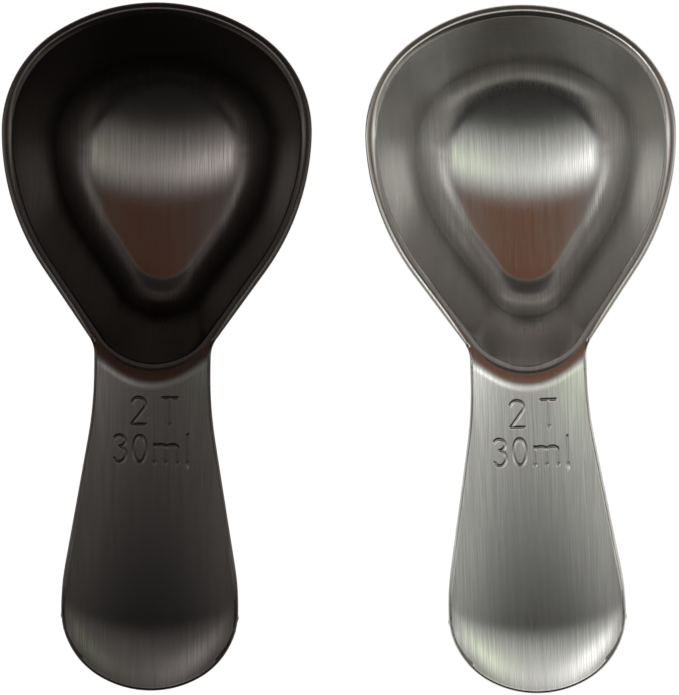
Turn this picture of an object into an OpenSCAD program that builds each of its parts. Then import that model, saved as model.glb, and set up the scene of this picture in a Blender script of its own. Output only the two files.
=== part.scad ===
// Pair of one-piece pressed coffee scoops, standing level on their bowls, side by side.
// Each scoop is one sheet of steel: a pear-shaped bowl with a narrow flat rim, and a handle that slopes
// down from it and levels out in a dished thumb rest. Millimetres, +Z up, handles towards -Y.

/* [Sheet] */
// Thickness of the steel sheet
sheet_t = 0.9; // [0.6:0.1:1.1]
// Rounding of the sheet's cut edge
edge_r = 0.25; // [0.1:0.05:0.3]

/* [Bowl outline] */
// Radius of the front edge
front_r = 28.6; // [22:0.1:40]
// Turn of the front edge on each side of its middle, in degrees
front_turn = 34.4; // [26:0.1:42]
// Radius of the shoulders
shoulder_r = 18.1; // [14:0.1:24]
// Turn of each shoulder, in degrees
shoulder_turn = 56.1; // [48:0.1:60]
// Radius of the cheeks below the shoulders
cheek_r = 37.9; // [28:0.1:50]
// Turn of each cheek, in degrees
cheek_turn = 34.5; // [28:0.1:38]
// Straight run of the mouth past the neck's fillet
tip_run = 1.7; // [0.8:0.1:2.6]
// From the front edge to the centre that the bowl's sections shrink towards
centre_in = 26.1; // [22:0.1:30]

/* [Bowl section] */
// Depth from the rim to the level floor
bowl_depth = 24.1; // [18:0.1:28]
// Width of the flat rim
rim_w = 0.65; // [0.5:0.05:1.2]
// Radius of the bend from rim to wall
lip_r = 1.2; // [1.15:0.05:1.8]
// Slope of the wall at the widest place, in degrees
wall_angle = 74; // [62:1:78]
// Radius of the bend from the front wall to the floor
floor_r = 4.5; // [3:0.1:6]
// Radius of that bend at the sides
side_r = 9; // [6:0.1:10]
// Radius of that bend towards the neck
back_r = 5; // [4:0.1:8]
// Where the level floor ends, ahead of the sections' centre
level_front = -6; // [-8:0.1:-3]
// Rise of the floor from there to the front wall
floor_rise = 2.7; // [0.5:0.1:3]
// Radius of the arc along which the level floor ends
level_arc_r = 30; // [25:1:60]

/* [Handle] */
// Width of the neck
neck_w = 18.1; // [15:0.1:22]
// Fillet between bowl and neck
neck_r = 4.5; // [3:0.1:9]
// Length of the neck's parallel stretch
neck_len = 2.9; // [2:0.1:12]
// Radius at which the sides start to flare
flare_r = 63; // [40:1:80]
// Angle of the flaring sides, in degrees
flare_turn = 9.3; // [8:0.1:13]
// Radius at which the sides come parallel again
hip_r = 49; // [30:1:65]
// Width of the handle at its widest
grip_w = 27.2; // [25.5:0.1:34]
// Flat stretch of the handle from the bowl on
flat_len = 0.4; // [0.2:0.1:2]
// Radius of the bend down after the flat stretch
bend_r = 20; // [10:1:40]
// Slope of the handle after that bend, in degrees
dip_angle = 8; // [5:0.5:11]
// How much steeper the slope is at the thumb rest, in degrees
dip_gain = 2.5; // [1:0.5:4]
// Radius of the dished thumb rest
dish_r = 100; // [60:5:140]
// Slope that is left at the handle's end, in degrees
end_dip = 4; // [1:0.5:6]
// Radius of the arc along which the thumb rest begins
rest_arc_r = 20; // [14:1:40]
// How much the dish curves up to the sides, as a share of its curve to the end
side_share = 1.6; // [0:0.1:2]

/* [Layout] */
// Distance between the two bowls' centres
pitch = 56.6; // [52:0.1:80]
// How far the steel scoop stands nearer than the black one
stagger = 0.4; // [0:0.1:2]
// Lean of the black scoop's handle, in degrees
black_lean = -0.8; // [-3:0.1:3]
// Lean of the steel scoop's handle, in degrees
steel_lean = 1.9; // [-3:0.1:3]

/* [Hidden] */

// End arcs as shares of half the grip's width
end_share = 1.114;
corner_share = 0.882;

// Steps along each stretch of the outline
front_steps = 5;
shoulder_steps = 8;
cheek_steps = 5;
flank_steps = 3;
tip_steps = 6;
corner_steps = 3;
neck_steps = 3;
flare_steps = 3;
side_steps = 5;
hip_steps = 5;
// Rings across the bowl's floor, bends and wall
floor_rings = 4;
blend_rings = 5;
wall_rings = 3;
lip_rings = 3;

// A place on an outline is [x, y, heading], with the heading in degrees clockwise from +X.
// A move is [radius, turn, steps], or [0, length, steps] for a straight run.
function arc_to(q, r, turn) = [
  q[0] + r * (sin(q[2] + turn) - sin(q[2])),
  q[1] + r * (cos(q[2] + turn) - cos(q[2])),
  q[2] + turn
];
function run_to(q, d) = [q[0] + d * cos(q[2]), q[1] - d * sin(q[2]), q[2]];
function part_way(q, move, share) =
  move[0] == 0 ? run_to(q, move[1] * share) : arc_to(q, move[0], move[1] * share);
function walk(q, moves, i = 0) = i == len(moves) ? [] : concat(
  [for (k = [1:moves[i][2]]) part_way(q, moves[i], k / moves[i][2])],
  walk(part_way(q, moves[i], 1), moves, i + 1)
);
function flip(q) = [-q[0], q[1], 360 - q[2]];
function xy(q) = [q[0], q[1]];
function outward(q) = [sin(q[2]), cos(q[2])];
function unit(v) = v / norm(v);
function mix(a, b, share) = a * (1 - share) + b * share;

// The mouth's outline: front, shoulder, cheek, straight flank, then round the lower end
lean = front_turn + shoulder_turn + cheek_turn - 90;
bowl_start = [0, centre_in, 0];
cheek_moves = [
  [front_r, front_turn, front_steps],
  [shoulder_r, shoulder_turn, shoulder_steps],
  [cheek_r, cheek_turn, cheek_steps]
];
to_cheek = walk(bowl_start, cheek_moves);
cheek_end = to_cheek[len(to_cheek) - 1];
neck_x = neck_w / 2 + neck_r * tan(lean / 2) * sin(lean);
flank_len = (cheek_end[0] - neck_x) / sin(lean);
join = run_to(cheek_end, flank_len);
to_join = concat(to_cheek, walk(cheek_end, [[0, flank_len, flank_steps]]));
tip_r = (neck_x - tip_run * sin(lean)) / cos(lean);
to_tip = walk(join, [[0, tip_run, 1], [tip_r, 90 - lean, tip_steps]]);
mouth_half = concat([bowl_start], to_join, to_tip);
half_spokes = len(mouth_half) - 1;
spokes = 2 * half_spokes;
mouth = concat(mouth_half, [for (k = [half_spokes - 1:-1:1]) flip(mouth_half[k])]);
bowl_half = max([for (q = mouth) q[0]]);
mouth_end = mouth_half[half_spokes][1];

// The bend from wall to floor changes smoothly round the bowl, with the outline's heading
function bend_radius(q) =
  let (turned = min(q[2], 360 - q[2]))
  turned < 90 ? mix(floor_r, side_r, turned / 90) :
  mix(side_r, back_r, min((turned - 90) / lean, 1));

// The bowl's rings, each [share of the inner mouth, distance past it, height, slope]
lip_run = lip_r * sin(wall_angle);
inner_half = bowl_half - rim_w - lip_run;
lip_z = bowl_depth - lip_r * (1 - cos(wall_angle));
function blend_z(bend) = bend * (1 - cos(wall_angle));
function floor_share(bend) =
  1 - ((lip_z - blend_z(bend)) / tan(wall_angle) + bend * sin(wall_angle)) / inner_half;
function blend_share(bend) = floor_share(bend) + bend * sin(wall_angle) / inner_half;
function rings(bend) = concat(
  [for (k = [1:floor_rings]) [floor_share(bend) * k / floor_rings, 0, 0, 0]],
  [for (k = [1:blend_rings]) let (a = wall_angle * k / blend_rings)
    [floor_share(bend) + bend * sin(a) / inner_half, 0, bend * (1 - cos(a)), a]],
  [for (k = [1:wall_rings])
    [mix(blend_share(bend), 1, k / wall_rings), 0, mix(blend_z(bend), lip_z, k / wall_rings),
      wall_angle]],
  [for (k = [1:lip_rings]) let (a = wall_angle * (1 - k / lip_rings))
    [1, lip_run - lip_r * sin(a), bowl_depth - lip_r * (1 - cos(a)), a]]
);

// Ahead of the level floor the bottom curves up to the front wall
floor_run = floor_share(floor_r) * (centre_in - rim_w - lip_run) - level_front;
function past_level(at) = max(at[1] - at[0] * at[0] / (2 * level_arc_r) - level_front, 0);
function rise(at) = floor_rise * pow(past_level(at) / floor_run, 2);
function rise_slope(at) =
  2 * floor_rise * past_level(at) / pow(floor_run, 2) * [-at[0] / level_arc_r, 1];

// A surface place is [point, normal]
function bowl_place(ring, q) =
  let (
    stretch = (xy(q) * outward(q) - rim_w - lip_run) / inner_half,
    inner = xy(q) - outward(q) * (rim_w + lip_run * stretch),
    at = inner * ring[0] + outward(q) * ring[1] * stretch,
    left_up = 1 - ring[2] / bowl_depth,
    fall = outward(q) * tan(ring[3]) / stretch * (1 - rise(at) / bowl_depth)
      + rise_slope(at) * left_up
  )
  [[at[0], at[1], ring[2] + rise(at) * left_up], unit([-fall[0], -fall[1], 1])];
rim_places = [for (q = mouth) [[q[0], q[1], bowl_depth], [0, 0, 1]]];
sections = [for (q = mouth) rings(bend_radius(q))];
bowl_places = concat(
  [for (j = [0:len(sections[0]) - 1]) [for (i = [0:spokes - 1]) bowl_place(sections[i][j], mouth[i])]],
  [rim_places]
);
pole = [[0, 0, rise([0, 0])], unit([0, -rise_slope([0, 0])[1], 1])];

// The handle's side, then half of its rounded end
gain = (grip_w - neck_w) / 2;
side_run = (gain - (flare_r + hip_r) * (1 - cos(flare_turn))) / sin(flare_turn);
to_side = walk(join, [
  [-neck_r, -lean, neck_steps],
  [0, neck_len, 1],
  [-flare_r, -flare_turn, flare_steps],
  [0, side_run, side_steps],
  [hip_r, flare_turn, hip_steps]
]);
side = concat([join], to_side);
rows = len(side) - 1;
grip_end = side[rows];
end_r = grip_w / 2 * end_share;
corner_r = grip_w / 2 * corner_share;
corner_in = grip_w / 2 - corner_r;
corner_turn = acos(corner_in / (end_r - corner_r));
half_columns = len(to_tip);
columns = 2 * half_columns;
end_half = concat([grip_end], walk(grip_end, [
  [corner_r, corner_turn, corner_steps],
  [end_r, 90 - corner_turn, half_columns - corner_steps]
]));
function both_sides(half) =
  concat(half, [for (k = [len(half) - 2:-1:0]) flip(half[k])]);
neck_row = both_sides(concat([join], to_tip));
end_row = both_sides(end_half);
handle_end = end_half[half_columns][1];
handle_len = mouth_end - handle_end;

// Length along the handle's side up to a row, as a share of the whole side
side_steps_len = [for (k = [1:rows]) norm(xy(side[k]) - xy(side[k - 1]))];
function total(list, n) = n == 0 ? 0 : list[n - 1] + total(list, n - 1);
function row_share(r) = total(side_steps_len, r) / total(side_steps_len, rows);

// The handle's middle runs down from the rim in three arcs: the bend, the slope, which gets a little
// steeper, and the dish, which levels it out. The sine of its slope grows evenly along each.
steep = dip_angle + dip_gain;
bend_end = flat_len + bend_r * sin(dip_angle);
dish_start = handle_len - dish_r * (sin(steep) - sin(end_dip));
arch_r = (dish_start - bend_end) / (sin(steep) - sin(dip_angle));
bend_z = -bend_r * (1 - cos(dip_angle));
dish_z = bend_z - arch_r * (cos(dip_angle) - cos(steep));
function between(d, low, high) = min(max(d, low), high) - low;
function slope_sine(d) =
  between(d, flat_len, bend_end) / bend_r + between(d, bend_end, dish_start) / arch_r
    - max(d - dish_start, 0) / dish_r;
function middle_z(d) =
  let (level = cos(asin(slope_sine(d))))
  d < bend_end ? -bend_r * (1 - level) :
  d < dish_start ? bend_z - arch_r * (cos(dip_angle) - level) : dish_z - dish_r * (level - cos(steep));

// The rows of the handle's surface go from the bowl's round edge to the handle's. The bend follows the
// one and the dish an arc like the other, and towards the end the sides rise.
function handle_xy(r, c) =
  let (
    v = row_share(r),
    u = c / columns,
    sides = mix(xy(side[r]), xy(flip(side[r])), u),
    ends = mix(xy(neck_row[c]), xy(end_row[c]), v),
    corners = mix(mix(xy(join), xy(flip(join)), u), mix(xy(grip_end), xy(flip(grip_end)), u), v)
  )
  sides + ends - corners;
neck_bow = (join[1] - mouth_end) / pow(join[0], 2);
function handle_run(at, v) =
  mouth_end - at[1] + at[0] * at[0] * (neck_bow * pow(1 - v, 2) + pow(v, 3) / (2 * rest_arc_r));
function side_rise(at, v) = side_share / dish_r * pow(v, 3) * at[0] * at[0] / 2;
handle_grid = [
  for (r = [0:rows]) [
    for (c = [0:columns])
      let (at = handle_xy(r, c), v = row_share(r))
      [at[0], at[1], bowl_depth + middle_z(handle_run(at, v)) + side_rise(at, v)]
  ]
];
function handle_normal(r, c) =
  unit(cross(
    handle_grid[r][min(c + 1, columns)] - handle_grid[r][max(c - 1, 0)],
    handle_grid[min(r + 1, rows)][c] - handle_grid[r - 1][c]
  ));
handle_places = [
  for (r = [1:rows]) [for (c = [0:columns]) [handle_grid[r][c], handle_normal(r, c)]]
];

// Numbers of the places: the pole, then the rings, then the handle's rows
ring_count = len(bowl_places);
function wrap(i) = (i + spokes) % spokes;
function on_bowl(j, i) = 1 + j * spokes + wrap(i);
function on_handle(r, c) =
  r == 0 ? on_bowl(ring_count - 1, half_spokes - half_columns + c) :
  1 + ring_count * spokes + (r - 1) * (columns + 1) + c;
places = concat(
  [pole],
  [for (ring = bowl_places) for (p = ring) p],
  [for (row = handle_places) for (p = row) p]
);
count = len(places);

// The free edge, clockwise: round the bowl, down one side, round the end, up the other side
edge = concat(
  [for (i = [half_spokes + half_columns:spokes + half_spokes - half_columns])
    on_bowl(ring_count - 1, i)],
  [for (r = [1:rows]) on_handle(r, 0)],
  [for (c = [1:columns]) on_handle(rows, c)],
  [for (r = [rows - 1:-1:1]) on_handle(r, columns)]
);
edge_count = len(edge);
function edge_at(k) = edge[(k + edge_count) % edge_count];
edge_out = [
  for (k = [0:edge_count - 1])
    unit(cross(places[edge[k]][1], places[edge_at(k + 1)][0] - places[edge_at(k - 1)][0]))
];
function edge_rank(n) = search(n, edge)[0];
function pull_in(n) = let (k = edge_rank(n)) is_undef(k) ? [0, 0, 0] : edge_out[k] * -edge_r;

top_points = [for (n = [0:count - 1]) places[n][0] + pull_in(n)];
under_points = [for (n = [0:count - 1]) top_points[n] - places[n][1] * sheet_t];
upper_edge = [for (n = edge) places[n][0] - places[n][1] * edge_r];
lower_edge = [for (n = edge) places[n][0] - places[n][1] * (sheet_t - edge_r)];
points = concat(top_points, under_points, upper_edge, lower_edge);

function quad(a, b, c, d) = [[a, b, c], [a, c, d]];
top_faces = concat(
  [for (i = [0:spokes - 1]) [0, on_bowl(0, i), on_bowl(0, i + 1)]],
  [for (j = [0:ring_count - 2]) for (i = [0:spokes - 1]) for (f = quad(
    on_bowl(j, i), on_bowl(j + 1, i), on_bowl(j + 1, i + 1), on_bowl(j, i + 1)
  )) f],
  [for (r = [0:rows - 1]) for (c = [0:columns - 1]) for (f = quad(
    on_handle(r, c), on_handle(r + 1, c), on_handle(r + 1, c + 1), on_handle(r, c + 1)
  )) f]
);
under_faces = [for (f = top_faces) [f[2] + count, f[1] + count, f[0] + count]];
function upper(k) = 2 * count + k % edge_count;
function lower(k) = upper(k) + edge_count;
edge_faces = [
  for (k = [0:edge_count - 1])
    let (a = edge_at(k), b = edge_at(k + 1))
      for (f = concat(
        quad(b, a, upper(k), upper(k + 1)),
        quad(upper(k + 1), upper(k), lower(k), lower(k + 1)),
        quad(lower(k + 1), lower(k), a + count, b + count)
      )) f
];
faces = concat(top_faces, under_faces, edge_faces);

// What the bowl holds when it is struck level with its rim, in millilitres
function over(f) =
  let (a = places[f[0]][0], b = places[f[1]][0], c = places[f[2]][0])
  -cross(xy(b) - xy(a), xy(c) - xy(a)) / 2 * (bowl_depth - (a[2] + b[2] + c[2]) / 3);
bowl_face_count = spokes + (ring_count - 1) * spokes * 2;
held = [for (k = [0:bowl_face_count - 1]) over(top_faces[k])];
cubic_mm_per_ml = 1000;
echo(capacity_ml = held * [for (h = held) 1] / cubic_mm_per_ml);

// Both scoops stand on z = 0, with the middle of the pair at the origin
function turned(p, a) = [p[0] * cos(a) - p[1] * sin(a), p[0] * sin(a) + p[1] * cos(a)];
outline = [for (n = edge) xy(places[n][0])];
function placed(a, at) = [for (p = outline) turned(p, a) + at];
black_at = [0, 0];
steel_at = [pitch, -stagger];
both = concat(placed(black_lean, black_at), placed(steel_lean, steel_at));
function middle(k) = (max([for (p = both) p[k]]) + min([for (p = both) p[k]])) / 2;
shift = [middle(0), middle(1)];

module scoop(at, a) {
  translate([at[0] - shift[0], at[1] - shift[1], sheet_t])
    rotate([0, 0, a])
      polyhedron(points, faces);
}

module steel_scoop() {
  color("silver") scoop(steel_at, steel_lean);
}

module black_scoop() {
  color("dimgray") scoop(black_at, black_lean);
}

steel_scoop();
black_scoop();
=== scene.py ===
from math import acos, ceil, cos, degrees, pi, radians, sin, tan

import bpy
import numpy as np
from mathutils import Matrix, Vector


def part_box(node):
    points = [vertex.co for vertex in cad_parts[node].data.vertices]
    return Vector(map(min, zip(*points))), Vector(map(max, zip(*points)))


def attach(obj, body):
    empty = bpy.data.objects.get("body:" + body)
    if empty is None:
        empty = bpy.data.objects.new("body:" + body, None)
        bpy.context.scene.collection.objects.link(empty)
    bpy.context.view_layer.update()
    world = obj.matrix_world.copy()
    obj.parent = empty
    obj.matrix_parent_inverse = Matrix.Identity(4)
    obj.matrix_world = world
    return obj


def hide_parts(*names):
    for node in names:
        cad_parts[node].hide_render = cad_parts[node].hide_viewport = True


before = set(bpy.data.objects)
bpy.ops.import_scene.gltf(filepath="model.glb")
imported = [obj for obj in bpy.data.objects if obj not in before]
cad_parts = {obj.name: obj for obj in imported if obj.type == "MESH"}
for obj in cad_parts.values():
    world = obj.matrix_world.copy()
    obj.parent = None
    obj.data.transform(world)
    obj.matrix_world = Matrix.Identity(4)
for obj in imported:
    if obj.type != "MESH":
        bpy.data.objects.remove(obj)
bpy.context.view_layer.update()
print("frame loaded:", ", ".join(sorted(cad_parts)))

mm = 0.001
bpy.context.scene.view_settings.view_transform = "Standard"


# Camera: the photograph looks straight down on the rims, from slightly to the right

view = {
    "height": 695,  # pixels on the picture's longer side
    "pixel": 0.15455,  # millimetres on the rims' plane
    "aimX": 0.17,  # middle of the picture on that plane, in millimetres
    "aimY": 0.15,
    "aimZ": 24.9,
    "distance": 1600,
    "aside": 2.2,  # degrees off the vertical
    "sensor": 36,
    "clip": (0.01, 20),  # metres
}


def addCamera():
    data = bpy.data.cameras.new("camera")
    data.sensor_width = view["sensor"]
    data.lens = view["sensor"] * view["distance"] / (view["height"] * view["pixel"])
    data.clip_start, data.clip_end = view["clip"]
    camera = bpy.data.objects.new("camera", data)
    tilt = radians(view["aside"])
    camera.location = (
        (view["aimX"] + view["distance"] * sin(tilt)) * mm,
        view["aimY"] * mm,
        (view["aimZ"] + view["distance"] * cos(tilt)) * mm,
    )
    camera.rotation_euler = (0, tilt, 0)
    bpy.context.scene.collection.objects.link(camera)
    bpy.context.scene.camera = camera


addCamera()
print("camera set")


# Node helpers


def addNode(tree, kind, values=(), **settings):
    # Values are sockets to link from, or plain values to set
    node = tree.nodes.new(kind)
    for key, value in settings.items():
        setattr(node, key, value)
    for socket, value in dict(values).items():
        if isinstance(value, bpy.types.NodeSocket):
            tree.links.new(value, node.inputs[socket])
        else:
            node.inputs[socket].default_value = value
    return node


def calc(tree, operation, a, b=0.0):
    return addNode(tree, "ShaderNodeMath", {0: a, 1: b}, operation=operation).outputs[0]


def vectorCalc(tree, operation, a, b=(0, 0, 0)):
    return addNode(tree, "ShaderNodeVectorMath", {0: a, 1: b}, operation=operation).outputs[0]


def fade(tree, value, start, end, low=0.0, high=1.0):
    # Smooth change from low to high as value goes from start to end
    values = {"Value": value, "From Min": start, "From Max": end, "To Min": low, "To Max": high}
    node = addNode(tree, "ShaderNodeMapRange", values, interpolation_type="SMOOTHSTEP")
    return node.outputs["Result"]


def blendColor(tree, mask, under, over):
    values = {"Factor": mask, "A": under, "B": over}
    return addNode(tree, "ShaderNodeMix", values, data_type="RGBA").outputs["Result"]


def newGroup(name, inputs, outputs):
    group = bpy.data.node_groups.new(name, "ShaderNodeTree")
    for label, kind, value in inputs:
        kind = "NodeSocket" + kind
        socket = group.interface.new_socket(name=label, in_out="INPUT", socket_type=kind)
        if value is not None:
            socket.default_value = value
    for label, kind in outputs:
        kind = "NodeSocket" + kind
        group.interface.new_socket(name=label, in_out="OUTPUT", socket_type=kind)
    given = group.nodes.new("NodeGroupInput").outputs
    made = group.nodes.new("NodeGroupOutput").inputs
    return group, given, made


# Studio: soft panels all round, over a pale floor. A panel is placed by how far aside its
# direction points, as a share, and by how many degrees ahead of the vertical it is when seen
# from the side.

studio = {
    "walls": (0.20, 0.182, 0.172, 1),
    "panels": [
        # name, color, middle aside, middle ahead, half width, half depth,
        # softness aside, softness ahead; a later panel lies over the ones before it
        ("nearWall", (0.27, 0.256, 0.232, 1), 0.0, -90, 1.5, 65, 1.0, 16),
        ("sideGlow", (0.30, 0.295, 0.272, 1), 0.0, 1, 1.5, 11, 0.30, 10),
        ("leftGlow", (0.80, 0.785, 0.74, 1), -1.1, -1, 0.50, 12, 0.30, 14),
        ("rightGlow", (0.80, 0.785, 0.74, 1), 1.1, -1, 0.50, 12, 0.30, 14),
        ("farMiddle", (0.040, 0.037, 0.035, 1), 0.0, 28, 0.40, 20, 0.30, 10),
        ("nearMiddle", (0.016, 0.0155, 0.015, 1), 0.0, -85, 0.42, 86, 0.30, 10),
        ("farSide", (0.18, 0.157, 0.145, 1), 0.0, 54, 0.60, 14, 0.50, 10),
        ("shoulder", (0.42, 0.42, 0.405, 1), 0.0, -11.25, 0.50, 7.75, 0.40, 7),
        ("stripLight", (0.70, 0.695, 0.68, 1), 0.0, -9.5, 0.55, 1.5, 0.40, 4),
        ("rightLamp", (1.05, 1.2, 0.86, 1), 0.16, -11, 0.06, 3, 0.10, 6),
        ("leftLamp", (2.0, 2.0, 1.96, 1), -0.20, -10.5, 0.075, 3, 0.12, 6),
        ("warmPanel", (0.118, 0.041, 0.016, 1), 0.0, 2.5, 0.21, 5.5, 0.18, 5),
    ],
}


def panelGroup():
    inputs = [(label, "Vector", None) for label in ("Place", "Middle", "Half", "Softness")]
    group, given, made = newGroup("studioPanel", inputs, [("Mask", "Float")])
    away = vectorCalc(group, "SUBTRACT", given["Place"], given["Middle"])
    past = vectorCalc(group, "SUBTRACT", vectorCalc(group, "ABSOLUTE", away), given["Half"])
    share = vectorCalc(group, "DIVIDE", past, given["Softness"])
    parts = addNode(group, "ShaderNodeSeparateXYZ", {0: share}).outputs
    across = fade(group, parts["X"], -0.5, 0.5, 1.0, 0.0)
    along = fade(group, parts["Y"], -0.5, 0.5, 1.0, 0.0)
    group.links.new(calc(group, "MULTIPLY", across, along), made["Mask"])
    return group


def addWorld():
    world = bpy.data.worlds.new("studio")
    bpy.context.scene.world = world
    world.use_nodes = True
    tree = world.node_tree
    tree.nodes.clear()
    direction = addNode(tree, "ShaderNodeTexCoord").outputs["Generated"]
    parts = addNode(tree, "ShaderNodeSeparateXYZ", {0: direction}).outputs
    ahead = calc(tree, "DEGREES", calc(tree, "ARCTAN2", parts["Y"], parts["Z"]))
    place = addNode(tree, "ShaderNodeCombineXYZ", {"X": parts["X"], "Y": ahead}).outputs[0]
    panel = panelGroup()
    color = studio["walls"]
    for name, shade, aside, before, halfWidth, halfDepth, softAside, softAhead in studio["panels"]:
        values = {
            "Place": place,
            "Middle": (aside, before, 0),
            "Half": (halfWidth, halfDepth, 1),
            "Softness": (softAside, softAhead, 1),
        }
        mask = addNode(tree, "ShaderNodeGroup", values, node_tree=panel, name=name)
        color = blendColor(tree, mask.outputs["Mask"], color, shade)
    background = addNode(tree, "ShaderNodeBackground", {"Color": color, "Strength": 1.0})
    addNode(tree, "ShaderNodeOutputWorld", {"Surface": background.outputs[0]})


addWorld()

floor = {
    "half": 1500,
    "color": (0.86, 0.86, 0.855, 1),
    "glow": 0.92,  # what the picture sees besides the lit floor
    "mirrored": 0.55,  # share of that glow in the metal
}


def addFloor():
    half = floor["half"] * mm
    mesh = bpy.data.meshes.new("worktop")
    corners = [(-half, -half, 0), (half, -half, 0), (half, half, 0), (-half, half, 0)]
    mesh.from_pydata(corners, [], [(0, 1, 2, 3)])
    worktop = bpy.data.objects.new("worktop", mesh)
    bpy.context.scene.collection.objects.link(worktop)
    material = bpy.data.materials.new("worktop")
    material.use_nodes = True
    tree = material.node_tree
    shader = tree.nodes["Principled BSDF"]
    shader.inputs["Base Color"].default_value = floor["color"]
    shader.inputs["Roughness"].default_value = 1.0
    shader.inputs["Specular IOR Level"].default_value = 0.0
    ray = addNode(tree, "ShaderNodeLightPath").outputs
    mirrored = calc(tree, "MULTIPLY", ray["Is Glossy Ray"], floor["mirrored"])
    seen = calc(tree, "MAXIMUM", ray["Is Camera Ray"], ray["Is Transmission Ray"])
    glow = calc(tree, "MULTIPLY", calc(tree, "MAXIMUM", seen, mirrored), floor["glow"])
    shader.inputs["Emission Color"].default_value = (1, 1, 1, 1)
    tree.links.new(glow, shader.inputs["Emission Strength"])
    mesh.materials.append(material)


addFloor()
print("studio lit")


# The pressing: one shape serves both scoops. Millimetres and degrees, in the scoop's own frame,
# with the bowl's front edge towards +Y and the rim's plane at bowlDepth.

sheet = {
    "sheetT": 0.9,
    "edgeR": 0.40,  # of the rounded cut edge
    "edgeInset": 0.25,  # of the underside, from where that rounding ends
    # the mouth's arcs, from the front to the neck
    "frontR": 28.6, "frontTurn": 34.4,
    "shoulderR": 18.1, "shoulderTurn": 56.1,
    "cheekR": 37.9, "cheekTurn": 34.5,
    "tipRun": 1.7,  # straight, before the mouth turns round along the neck
    "centreIn": 26.1,  # from the bowl's front edge to its centre
    "bowlDepth": 24.1,
    "rimW": 0.65, "rimFall": 0.07, "fallRun": 4,  # the rim falls a little away from the neck
    "lipR": 1.2,
    "wallAngle": 74,
    # the bend between floor and wall: at the front, the sides and the back
    "floorR": 4.5, "sideR": 6.5, "backR": 5,
    # the floor: its rise to the sides, where its level part ends, and its rise to the front
    "crownR": 90,
    "levelFront": -6,
    "floorRise": 2.7, "riseBowR": 30,
    "panSlope": 26,  # at which the floor no longer counts as the bowl's bottom
    # the handle's outline
    "neckW": 18.1, "neckR": 4.5, "neckLen": 2.9,
    "flareR": 63, "flareTurn": 9.3,
    "hipR": 49,
    "gripW": 27.2,
    "endShare": 1.114, "cornerShare": 0.882,  # radii, as shares of half the grip
    # the handle's profile: bend at the neck, arch and thumb rest
    "flatLen": 0.4,
    "bendR": 12, "dipAngle": 8, "dipGain": 2.2,
    "dishR": 74, "endDip": 2, "restArcR": 20,
    "sideShare": 1.22,  # the rest's curve across, as a share of its curve along
}

# Steps of the upper face and of the underside. Columns go along the neck and rows along the
# handle: from which share of the way on, and how many steps.
fine = {
    "outline": 0.6,  # longest step along the bowl's edge
    "columns": [(0, 8), (0.2, 128), (0.8, 8)],
    "rows": [(0, 8), (0.035, 124), (0.31, 58)],
    "floor": 12, "blend": 14, "wall": 6, "lip": 9,
    "edge": 5,
}
coarse = {
    "outline": 1.4,
    "columns": [(0, 24)],
    "rows": [(0, 60)],
    "floor": 8, "blend": 8, "wall": 9, "lip": 2,
}


def arcTo(place, radius, turn):
    x, y, heading = place
    ahead = heading + turn
    x += radius * (sin(ahead) - sin(heading))
    y += radius * (cos(ahead) - cos(heading))
    return (x, y, ahead)


def runTo(place, length):
    x, y, heading = place
    return (x + length * cos(heading), y - length * sin(heading), heading)


def walk(start, moves, step):
    # A move is (radius, degrees) for an arc, or (None, length) for a straight run
    path = [start]
    for radius, amount in moves:
        place = path[-1]
        length = amount if radius is None else abs(radius * radians(amount))
        count = max(1, ceil(length / step))
        for k in range(1, count + 1):
            if radius is None:
                path.append(runTo(place, amount * k / count))
            else:
                path.append(arcTo(place, radius, radians(amount) * k / count))
    return np.array(path)


def flipped(path):
    return np.stack([-path[::-1, 0], path[::-1, 1], 2 * pi - path[::-1, 2]], 1)


def bothSides(half):
    return np.concatenate([half, flipped(half)[1:]])


def shareSteps(stretches):
    ends = [start for start, count in stretches[1:]] + [1]
    steps = []
    for (start, count), end in zip(stretches, ends):
        steps.append(np.linspace(start, end, count, endpoint=False))
    return np.append(np.concatenate(steps), 1.0)


def sampled(path, shares):
    # Places at these shares of a path's length
    run = np.append(0, np.cumsum(np.hypot(*np.diff(path[:, :2], axis=0).T)))
    return np.stack([np.interp(shares * run[-1], run, values) for values in path.T], 1)


def unitRows(vectors):
    return vectors / np.linalg.norm(vectors, axis=-1, keepdims=True)


# The outline, from the bowl's front round to the neck

hair = 0.02  # step for curves that are sampled again

lean = sheet["frontTurn"] + sheet["shoulderTurn"] + sheet["cheekTurn"] - 90
leanSin, leanCos = sin(radians(lean)), cos(radians(lean))
cheekMoves = [
    (sheet["frontR"], sheet["frontTurn"]),
    (sheet["shoulderR"], sheet["shoulderTurn"]),
    (sheet["cheekR"], sheet["cheekTurn"]),
]
bowlStart = (0.0, sheet["centreIn"], 0.0)
cheekEnd = tuple(walk(bowlStart, cheekMoves, 1)[-1])
neckX = sheet["neckW"] / 2 + sheet["neckR"] * tan(radians(lean / 2)) * leanSin
flankLen = (cheekEnd[0] - neckX) / leanSin
joint = runTo(cheekEnd, flankLen)
tipR = (neckX - sheet["tipRun"] * leanSin) / leanCos
tipMoves = [(None, sheet["tipRun"]), (tipR, 90 - lean)]
neckRow = bothSides(walk(joint, tipMoves, hair))
bowlHalf = walk(bowlStart, cheekMoves, hair)[:, 0].max()
mouthEnd = neckRow[:, 1].min()

# The wall, and what is left of the mouth inside the rim and the lip

wall = radians(sheet["wallAngle"])
lipRun = sheet["lipR"] * sin(wall)
innerHalf = bowlHalf - sheet["rimW"] - lipRun
lipZ = sheet["bowlDepth"] - sheet["lipR"] * (1 - cos(wall))


def floorShare(bend):
    # How much of the inner mouth is floor where the bend up to the wall has this radius
    blendZ = bend * (1 - cos(wall))
    return 1 - ((lipZ - blendZ) / tan(wall) + bend * sin(wall)) / innerHalf


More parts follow.
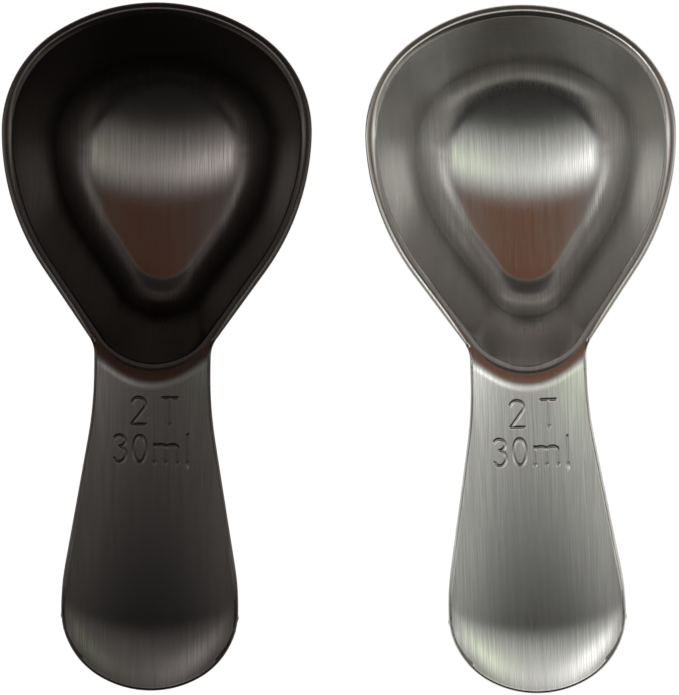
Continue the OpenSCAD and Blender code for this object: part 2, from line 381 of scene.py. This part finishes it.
frontRun = floorShare(sheet["floorR"]) * (sheet["centreIn"] - sheet["rimW"] - lipRun)
floorRun = frontRun - sheet["levelFront"]

# The handle's outline: both sides flare with reverse curves, and the end is three arcs

gain = (sheet["gripW"] - sheet["neckW"]) / 2
flare = radians(sheet["flareTurn"])
sideRun = (gain - (sheet["flareR"] + sheet["hipR"]) * (1 - cos(flare))) / sin(flare)
sideMoves = [
    (-sheet["neckR"], -lean),
    (None, sheet["neckLen"]),
    (-sheet["flareR"], -sheet["flareTurn"]),
    (None, sideRun),
    (sheet["hipR"], sheet["flareTurn"]),
]
sidePath = walk(joint, sideMoves, hair)
gripEnd = tuple(sidePath[-1])
halfGrip = sheet["gripW"] / 2
endR = halfGrip * sheet["endShare"]
cornerR = halfGrip * sheet["cornerShare"]
cornerTurn = degrees(acos((halfGrip - cornerR) / (endR - cornerR)))
endRow = bothSides(walk(gripEnd, [(cornerR, cornerTurn), (endR, 90 - cornerTurn)], hair))
handleEnd = endRow[:, 1].min()
handleLen = mouthEnd - handleEnd

# The handle's profile is three arcs: down from the neck, steeper by a little, and back in the dish

dip = radians(sheet["dipAngle"])
steep = radians(sheet["dipAngle"] + sheet["dipGain"])
last = radians(sheet["endDip"])
bendEnd = sheet["flatLen"] + sheet["bendR"] * sin(dip)
dishStart = handleLen - sheet["dishR"] * (sin(steep) - sin(last))
archR = (dishStart - bendEnd) / (sin(steep) - sin(dip))
bendZ = -sheet["bendR"] * (1 - cos(dip))
dishZ = bendZ - archR * (cos(dip) - cos(steep))


def ringTable(mouth, steps):
    # Each ring is [share of the inner mouth, distance past it, height, slope] for every spoke
    turned = np.degrees(np.minimum(mouth[:, 2], 2 * pi - mouth[:, 2]))
    radii = [sheet["floorR"], sheet["sideR"], sheet["backR"]]
    bend = np.interp(turned, [0, 90, 90 + lean], radii)
    level = floorShare(bend)
    blendZ = bend * (1 - cos(wall))
    blendEnd = level + bend * sin(wall) / innerHalf
    same = np.ones(len(mouth))
    rows = []
    for k in range(1, steps["floor"] + 1):
        rows.append((level * k / steps["floor"], 0 * same, 0 * same, 0 * same))
    for k in range(1, steps["blend"] + 1):
        a = wall * k / steps["blend"]
        share = level + bend * sin(a) / innerHalf
        rows.append((share, 0 * same, bend * (1 - cos(a)), a * same))
    for k in range(1, steps["wall"] + 1):
        t = k / steps["wall"]
        height = blendZ + (lipZ - blendZ) * t
        rows.append((blendEnd * (1 - t) + t, 0 * same, height, wall * same))
    for k in range(1, steps["lip"] + 1):
        a = wall * (1 - k / steps["lip"])
        past = lipRun - sheet["lipR"] * sin(a)
        height = sheet["bowlDepth"] - sheet["lipR"] * (1 - cos(a))
        rows.append((same, past * same, height * same, a * same))
    return np.array(rows)


def aheadOfLevel(at):
    # The level floor ends along an arc
    sag = at[..., 0] ** 2 / (2 * sheet["riseBowR"])
    return np.maximum(at[..., 1] - sag - sheet["levelFront"], 0)


def rise(at):
    # Ahead of the level floor the bottom curves up to the front wall, and a little to both sides
    toFront = sheet["floorRise"] * (aheadOfLevel(at) / floorRun) ** 2
    return toFront + at[..., 0] ** 2 / (2 * sheet["crownR"])


def riseSlope(at):
    slope = 2 * sheet["floorRise"] * aheadOfLevel(at) / floorRun**2
    aside = at[..., 0] * (1 / sheet["crownR"] - slope / sheet["riseBowR"])
    return np.stack([aside, slope], -1)


def bowlPlaces(mouth, steps):
    # The rings take the floor's rise along with them, and less of it the higher they are
    out = np.stack([np.sin(mouth[:, 2]), np.cos(mouth[:, 2])], 1)
    stretch = ((mouth[:, :2] * out).sum(1) - sheet["rimW"] - lipRun) / innerHalf
    inner = mouth[:, :2] - out * (sheet["rimW"] + lipRun * stretch)[:, None]
    share, past, height, slope = ringTable(mouth, steps).transpose(1, 0, 2)
    at = inner * share[..., None] + out * (past * stretch)[..., None]
    leftUp = 1 - height / sheet["bowlDepth"]
    lift = rise(at)
    fall = out * (np.tan(slope) / stretch * (1 - lift / sheet["bowlDepth"]))[..., None]
    fall += riseSlope(at) * leftUp[..., None]
    points = np.concatenate([at, (height + lift * leftUp)[..., None]], -1)
    normals = unitRows(np.concatenate([-fall, np.ones_like(lift)[..., None]], -1))
    return points, normals


def middleSine(d):
    # Sine of the handle's slope down, along its middle
    bend = np.clip(d - sheet["flatLen"], 0, bendEnd - sheet["flatLen"]) / sheet["bendR"]
    arch = np.clip(d - bendEnd, 0, dishStart - bendEnd) / archR
    return bend + arch - np.maximum(d - dishStart, 0) / sheet["dishR"]


def middleZ(d):
    level = np.cos(np.arcsin(middleSine(d)))
    bend = -sheet["bendR"] * (1 - level)
    arch = bendZ - archR * (cos(dip) - level)
    dish = dishZ - sheet["dishR"] * (level - cos(steep))
    return np.where(d < bendEnd, bend, np.where(d < dishStart, arch, dish))


def gridNormals(grid):
    return unitRows(np.cross(np.gradient(grid, axis=1), np.gradient(grid, axis=0)))


def handlePlaces(steps):
    # The bend follows the bowl's round edge and the dish an arc; towards the end the sides rise
    columns, rows = shareSteps(steps["columns"]), shareSteps(steps["rows"])
    side = sampled(sidePath, rows)[:, None, :2]
    neck, end = sampled(neckRow, columns)[None, :, :2], sampled(endRow, columns)[None, :, :2]
    u, v = columns[None, :, None], rows[:, None, None]
    toLeft = np.where([True, False], 1 - 2 * u, 1)
    corner = np.array(joint[:2]) * (1 - v) + np.array(gripEnd[:2]) * v
    at = side * toLeft + (neck * (1 - v) + end * v) - corner * toLeft
    run, square, way = mouthEnd - at[..., 1], at[..., 0] ** 2, rows[:, None]
    neckBow = (joint[1] - mouthEnd) / joint[0] ** 2
    d = run + square * (neckBow * (1 - way) ** 2 + way**3 / (2 * sheet["restArcR"]))
    rising = sheet["sideShare"] / sheet["dishR"] * way**3
    height = sheet["bowlDepth"] + middleZ(d) + rising * square / 2
    grid = np.concatenate([at, height[..., None]], -1)
    upward = gridNormals(grid)
    # At the end's two corners the grid's directions meet in line, so the normal before them serves
    calmRows, calmColumns = 9, 3
    for column, beside in ((0, slice(0, calmColumns)), (-1, slice(-calmColumns, None))):
        upward[-calmRows:, column] = upward[-calmRows - 1, column]
        upward[-1, beside] = upward[-calmRows - 1, column]
    return grid[1:], upward[1:]


def quads(*corners):
    return np.stack(corners, -1).reshape(-1, 4).tolist()


def sheetFace(steps):
    # The pressing's upper face: points, normals, faces and the free edge, clockwise from the
    # left end of the neck
    toJoint = walk(bowlStart, cheekMoves + [(None, flankLen)], steps["outline"])
    neck = sampled(neckRow, shareSteps(steps["columns"]))
    mouth = np.concatenate([toJoint[:-1], neck, flipped(toJoint)[1:-1]])
    spokes, columns, first = len(mouth), len(neck) - 1, len(toJoint) - 1
    points, normals = bowlPlaces(mouth, steps)
    fromNeck = np.clip((mouth[:, 1] - joint[1]) / sheet["fallRun"], 0, 1)
    rim = np.column_stack([mouth[:, :2], sheet["bowlDepth"] - sheet["rimFall"] * fromNeck])
    rimNormals = np.tile([0.0, 0.0, 1.0], (spokes, 1))
    grip, gripNormals = handlePlaces(steps)
    centre = np.zeros(2)
    middle = np.array([[0, 0, rise(centre)]])
    middleNormal = unitRows(np.array([[0, -riseSlope(centre)[1], 1.0]]))
    pointParts = [middle, points, rim, grip]
    normalParts = [middleNormal, normals, rimNormals, gripNormals]

    rings = len(points) + 1
    onBowl = 1 + np.arange(rings * spokes).reshape(rings, spokes)
    onHandle = np.arange(grip.shape[0] * grip.shape[1]).reshape(grip.shape[:2])
    onHandle = np.concatenate([
        onBowl[-1:, first:first + columns + 1],
        onHandle + 1 + rings * spokes,
    ])
    around = np.roll(onBowl, -1, 1)
    faces = np.stack([np.zeros(spokes, int), onBowl[0], around[0]], 1).tolist()
    faces += quads(onBowl[:-1], onBowl[1:], around[1:], around[:-1])
    faces += quads(onHandle[:-1, :-1], onHandle[1:, :-1], onHandle[1:, 1:], onHandle[:-1, 1:])
    edge = np.concatenate([
        np.roll(onBowl[-1], -(first + columns))[:spokes - columns + 1],
        onHandle[1:, 0],
        onHandle[-1, 1:],
        onHandle[-2:0:-1, -1],
    ])
    allPoints = np.concatenate([part.reshape(-1, 3) for part in pointParts])
    allNormals = np.concatenate([part.reshape(-1, 3) for part in normalParts])
    return allPoints, allNormals, faces, edge


def edgeOutward(points, normals, edge):
    along = points[np.roll(edge, -1)] - points[np.roll(edge, 1)]
    return unitRows(np.cross(normals[edge], along))


def edgeProfile():
    # The cut edge, as (out, down): rounded over, a narrow flat, rounded under
    profile = []
    for k in range(1, fine["edge"] + 1):
        a = pi / 2 * k / fine["edge"]
        profile.append((sheet["edgeR"] * (sin(a) - 1), sheet["edgeR"] * (1 - cos(a))))
    profile += [(out, sheet["sheetT"] - down) for out, down in reversed(profile)]
    return profile + [(-sheet["edgeR"], sheet["sheetT"])]


def loopShares(points, loop):
    ring = points[np.append(loop, loop[0])]
    run = np.append(0, np.cumsum(np.linalg.norm(np.diff(ring, axis=0), axis=1)))
    return run / run[-1]


def stitched(points, upper, lower):
    # Triangles between two closed loops of different counts that start side by side
    a, b = loopShares(points, upper), loopShares(points, lower)
    faces = []
    i = j = 0
    while i < len(upper) or j < len(lower):
        here, there = upper[i % len(upper)], lower[j % len(lower)]
        if j == len(lower) or (i < len(upper) and a[i + 1] <= b[j + 1]):
            i += 1
            faces.append([int(upper[i % len(upper)]), int(here), int(there)])
        else:
            j += 1
            faces.append([int(lower[j % len(lower)]), int(here), int(there)])
    return faces


# Capacity marks: plain single-stroke figures, pressed into the handle


def bow(x, y, rx, ry, start, end, count=14):
    angles = [radians(a) for a in np.linspace(start, end, count)]
    return [(x + rx * cos(a), y + ry * sin(a)) for a in angles]


def figureTwo(w, h):
    r = w / 2
    return [bow(r, h - r, r, r, 165, -38) + [(0, 0), (w, 0)]]


def figureThree(w, h):
    r = w / 2
    high = r * 0.92  # half the height of the upper bow, and below it of the lower one
    low = (h - 2 * high) / 2
    return [bow(r, h - high, high, high, 150, -90) + bow(r, low, r, low, 90, -145)]


def figureZero(w, h):
    return [bow(w / 2, h / 2, w / 2, h / 2, 90, 450, 28)]


def letterT(w, h):
    return [[(0, h), (w, h)], [(w / 2, h), (w / 2, 0)]]


def letterM(w, h):
    r = w / 4
    high = r * 0.62  # of its two arches
    return [
        [(0, h), (0, 0)],
        bow(r, h - high, r, high, 180, 0) + [(w / 2, 0)],
        bow(3 * r, h - high, r, high, 180, 0) + [(w, 0)],
    ]


def letterL(w, h):
    return [[(0, h), (0, 0)]]


marks = {
    "upperLine": 7.35,  # from the bowl to the line's foot
    "lowerLine": 13.25,
    "figures": [
        # figure, left edge, line, width, height
        (figureTwo, -3.05, "upperLine", 2.1, 4.15),
        (letterT, 1.72, "upperLine", 2.3, 4.15),
        (figureThree, -5.85, "lowerLine", 1.9, 4.15),
        (figureZero, -2.75, "lowerLine", 1.95, 4.15),
        (letterM, 0.52, "lowerLine", 3.6, 2.8),
        (letterL, 5.62, "lowerLine", 0, 4.35),
    ],
    "grooveHalf": 0.20,
    "depth": 0.075,
    "dotR": 0.30,
    "dotDepth": 0.05,
}


def markStrokes():
    strokes = []
    for figure, left, line, w, h in marks["figures"]:
        foot = mouthEnd - marks[line]
        strokes += [[(left + x, foot + y) for x, y in stroke] for stroke in figure(w, h)]
    return strokes


def strokeDistance(at, stroke):
    ends = np.array(stroke)
    a, b = ends[:-1], ends[1:]
    run = b - a
    t = ((at[:, None] - a) * run).sum(-1) / np.maximum((run**2).sum(-1), 1e-12)
    near = a + run * np.clip(t, 0, 1)[..., None]
    return np.linalg.norm(at[:, None] - near, axis=-1).min(1)


def dent(away, reach):
    # From 1 in the middle of a mark to 0 at its edge
    return 0.5 + 0.5 * np.cos(pi * np.clip(away / reach, 0, 1))


def markDepths(points):
    # How deep the marks are pressed at each point of the upper face
    strokes = markStrokes()
    corners = np.concatenate(strokes)
    margin = max(marks["grooveHalf"], marks["dotR"])
    low, high = corners.min(0) - margin, corners.max(0) + margin
    near = np.flatnonzero(((points[:, :2] > low) & (points[:, :2] < high)).all(1))
    at = points[near, :2]
    lines = np.full(len(near), np.inf)
    dots = lines.copy()
    for stroke in strokes:
        lines = np.minimum(lines, strokeDistance(at, stroke))
        if stroke[-1][0] == stroke[-2][0]:  # an upright ends in a dot
            dots = np.minimum(dots, np.linalg.norm(at - np.array(stroke[-1]), axis=1))
    depth = np.zeros(len(points))
    depth[near] = marks["depth"] * dent(lines, marks["grooveHalf"])
    depth[near] += marks["dotDepth"] * dent(dots, marks["dotR"])
    return depth


def floorMasks(points, normals, count):
    # Where the sheet is drawn round the bend at the floor, and where it is the bowl's bottom
    inBowl = points[:, 2] < sheet["bowlDepth"] / 2
    tilt = 1 - normals[:, 2]
    steepness = np.clip(tilt / (1 - cos(wall)), 0, 1)
    levelness = np.clip(1 - tilt / (1 - cos(radians(sheet["panSlope"]))), 0, 1)
    drawn, pan = np.zeros(count), np.zeros(count)
    drawn[:len(points)] = 4 * steepness * (1 - steepness) * inBowl
    pan[:len(points)] = levelness * inBowl
    return {"drawn": drawn, "pan": pan}


def scoopMesh():
    # Points, faces, the flat plan that the brush lines follow, and masks for the finish
    points, normals, faces, edge = sheetFace(fine)
    outward = edgeOutward(points, normals, edge)
    top = points - normals * markDepths(points)[:, None]
    top[edge] -= outward * sheet["edgeR"]
    under, underNormals, underFaces, underEdge = sheetFace(coarse)
    underOut = edgeOutward(under, underNormals, underEdge)
    below = under - underNormals * sheet["sheetT"]
    below[underEdge] -= underOut * (sheet["edgeR"] + sheet["edgeInset"])

    # Loops round the cut edge, from the upper face down
    loops, parts, count = [edge], [top], len(top)
    for out, down in edgeProfile():
        parts.append(points[edge] + outward * out - normals[edge] * down)
        loops.append(count + np.arange(len(edge)))
        count += len(edge)
    whole = np.concatenate(parts + [below])
    for a, b in zip(loops[:-1], loops[1:]):
        faces += quads(np.roll(a, -1), a, b, np.roll(b, -1))
    faces += stitched(whole, loops[-1], count + underEdge)
    faces += [[count + n for n in reversed(face)] for face in underFaces]
    return whole, faces, whole[:, :2], floorMasks(points, normals, len(whole))


wholePoints, wholeFaces, wholePlan, wholeMasks = scoopMesh()
print("pressing shaped:", len(wholePoints), "points,", len(wholeFaces), "faces")


# Finishes


def grainGroup():
    # Brush lines that run along the sheet's plan, and broader streaks between them
    inputs = [
        ("Plan", "Vector", None),
        ("Line Width", "Float", 0.12),
        ("Line Length", "Float", 11.0),
    ]
    outputs = [("Lines", "Float"), ("Streaks", "Float")]
    group, given, made = newGroup("brushedGrain", inputs, outputs)

    def noise(widths, lengths, detail):
        width = calc(group, "MULTIPLY", given["Line Width"], widths)
        length = calc(group, "MULTIPLY", given["Line Length"], lengths)
        across, along = calc(group, "DIVIDE", 1.0, width), calc(group, "DIVIDE", 1.0, length)
        scale = addNode(group, "ShaderNodeCombineXYZ", {"X": across, "Y": along, "Z": 1.0})
        place = vectorCalc(group, "MULTIPLY", given["Plan"], scale.outputs[0])
        values = {"Vector": place, "Scale": 1.0, "Detail": detail, "Roughness": 0.6}
        return addNode(group, "ShaderNodeTexNoise", values, noise_dimensions="2D").outputs["Fac"]

    group.links.new(noise(widths=1.0, lengths=1.0, detail=3.0), made["Lines"])
    group.links.new(noise(widths=7.0, lengths=3.0, detail=2.0), made["Streaks"])
    return group


grain = grainGroup()

brushing = {  # what both finishes have in common
    "lineWidth": 0.12,
    "lineLength": 11.0,
    "lineRange": (0.35, 0.65),  # of the noise, from the metal beside a line to the line
    "streakRange": (0.3, 0.7),
    "lineShade": 0.75,  # how much of the shade a line takes on
    "streakShade": 0.35,
    "roughness": 0.175,
    "roughSpread": 0.06,
    "roughBetween": 0.07,  # more, for what the metal sees of itself
    "drawnRough": 0.22,  # more, at the bend round the floor
    "anisotropic": 0.62,
    "bumpRun": 0.00002,  # metres
}
steelFinish = {
    **brushing,
    "name": "brushedSteel",
    "color": (0.95, 0.945, 0.925, 1),
    "shade": (0.70, 0.695, 0.675, 1),
    "panPaintedHighlight": 1.0,
    "paintedShadeKeep": 0.60,  # of the color, kept where it sees itself twice over; the rest is painted shade
    "bump": 0.10,
    "metallic": 1.0,
}
blackFinish = {
    **brushing,
    "name": "blackSteel",
    "color": (0.148, 0.134, 0.129, 1),
    "shade": (0.102, 0.092, 0.089, 1),
    "panPaintedHighlight": 2.4,  # painted highlight: the colour brighter at the bottom of the bowl
    "paintedShadeKeep": 1.0,
    "bump": 0.08,
    "metallic": 0.94,
}


def brushedMetal(look):
    material = bpy.data.materials.new(look["name"])
    material.use_nodes = True
    tree = material.node_tree
    shader = tree.nodes["Principled BSDF"]
    values = {
        "Plan": addNode(tree, "ShaderNodeUVMap", uv_map="sheetPlan").outputs["UV"],
        "Line Width": look["lineWidth"],
        "Line Length": look["lineLength"],
    }
    noises = addNode(tree, "ShaderNodeGroup", values, node_tree=grain).outputs
    line = fade(tree, noises["Lines"], *look["lineRange"])
    streak = fade(tree, noises["Streaks"], *look["streakRange"])
    lineMask = calc(tree, "MULTIPLY", line, look["lineShade"])
    streakMask = calc(tree, "MULTIPLY", streak, look["streakShade"])
    color = blendColor(tree, lineMask, look["color"], look["shade"])
    color = blendColor(tree, streakMask, color, look["shade"])

    # Painted shade: past the second bounce the colour is darkened, which darkens what the metal
    # shows of itself, such as the bowl's front wall.
    path = addNode(tree, "ShaderNodeLightPath").outputs
    twice = calc(tree, "GREATER_THAN", path["Ray Depth"], 1.5)
    less = calc(tree, "MULTIPLY", twice, 1 - look["paintedShadeKeep"])
    # Painted highlight: the colour is brightened on the bowl's bottom, so its reflections there
    # look brighter.
    pan = addNode(tree, "ShaderNodeAttribute", attribute_name="pan").outputs["Fac"]
    more = calc(tree, "MULTIPLY", pan, look["panPaintedHighlight"] - 1)
    share = calc(tree, "MULTIPLY", calc(tree, "SUBTRACT", 1.0, less), calc(tree, "ADD", 1.0, more))
    color = addNode(tree, "ShaderNodeVectorMath", {0: color, "Scale": share}, operation="SCALE")
    tree.links.new(color.outputs[0], shader.inputs["Base Color"])

    rough = calc(tree, "MULTIPLY", line, look["roughSpread"])
    rough = calc(tree, "ADD", rough, look["roughness"] - look["roughSpread"] / 2)
    between = calc(tree, "MULTIPLY", path["Is Glossy Ray"], look["roughBetween"])
    drawn = addNode(tree, "ShaderNodeAttribute", attribute_name="drawn").outputs["Fac"]
    atBend = calc(tree, "MULTIPLY", drawn, look["drawnRough"])
    rough = calc(tree, "ADD", calc(tree, "ADD", rough, between), atBend)
    tree.links.new(rough, shader.inputs["Roughness"])
    shader.inputs["Metallic"].default_value = look["metallic"]
    shader.inputs["Anisotropic"].default_value = look["anisotropic"]
    tangent = addNode(tree, "ShaderNodeTangent", direction_type="UV_MAP", uv_map="sheetPlan")
    tree.links.new(tangent.outputs["Tangent"], shader.inputs["Tangent"])
    values = {"Strength": look["bump"], "Distance": look["bumpRun"], "Height": noises["Lines"]}
    bump = addNode(tree, "ShaderNodeBump", values)
    tree.links.new(bump.outputs["Normal"], shader.inputs["Normal"])
    return material


# Each scoop stands where its CAD node stands

scoops = {
    "black_scoop": {
        "piece": "blackScoop",
        "lean": -1.05,  # degrees
        "slot": "black_steel",
        "finish": blackFinish,
    },
    "steel_scoop": {
        "piece": "steelScoop",
        "lean": 1.9,
        "slot": "brushed_steel",
        "finish": steelFinish,
    },
}


def placedPoints(points, turn, low, high):
    a = radians(turn)
    x, y, z = points.T
    x, y = x * cos(a) - y * sin(a), x * sin(a) + y * cos(a)
    middle = (low + high) / 2 / mm
    x += middle[0] - (x.max() + x.min()) / 2
    y += middle[1] - (y.max() + y.min()) / 2
    z = z + (low[2] / mm - z.min())
    return np.stack([x, y, z], 1) * mm


def buildScoop(node, plan):
    low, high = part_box(node)
    points = placedPoints(wholePoints, plan["lean"], low, high)
    mesh = bpy.data.meshes.new(plan["piece"])
    mesh.from_pydata(points.tolist(), [], wholeFaces)
    corners = np.zeros(len(mesh.loops), int)
    mesh.loops.foreach_get("vertex_index", corners)
    flat = mesh.uv_layers.new(name="sheetPlan")
    flat.uv.foreach_set("vector", wholePlan[corners].astype(np.float32).ravel())
    for name, values in wholeMasks.items():
        mask = mesh.attributes.new(name, "FLOAT", "POINT")
        mask.data.foreach_set("value", values.astype(np.float32))
    mesh.polygons.foreach_set("use_smooth", np.ones(len(mesh.polygons), bool))
    mesh.update()
    mesh.materials.append(brushedMetal(plan["finish"]))
    piece = bpy.data.objects.new(plan["piece"], mesh)
    bpy.context.scene.collection.objects.link(piece)
    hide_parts(node)
    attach(piece, node)


for node, plan in scoops.items():
    buildScoop(node, plan)
    print("built", plan["piece"])

bpy.context.view_layer.update()
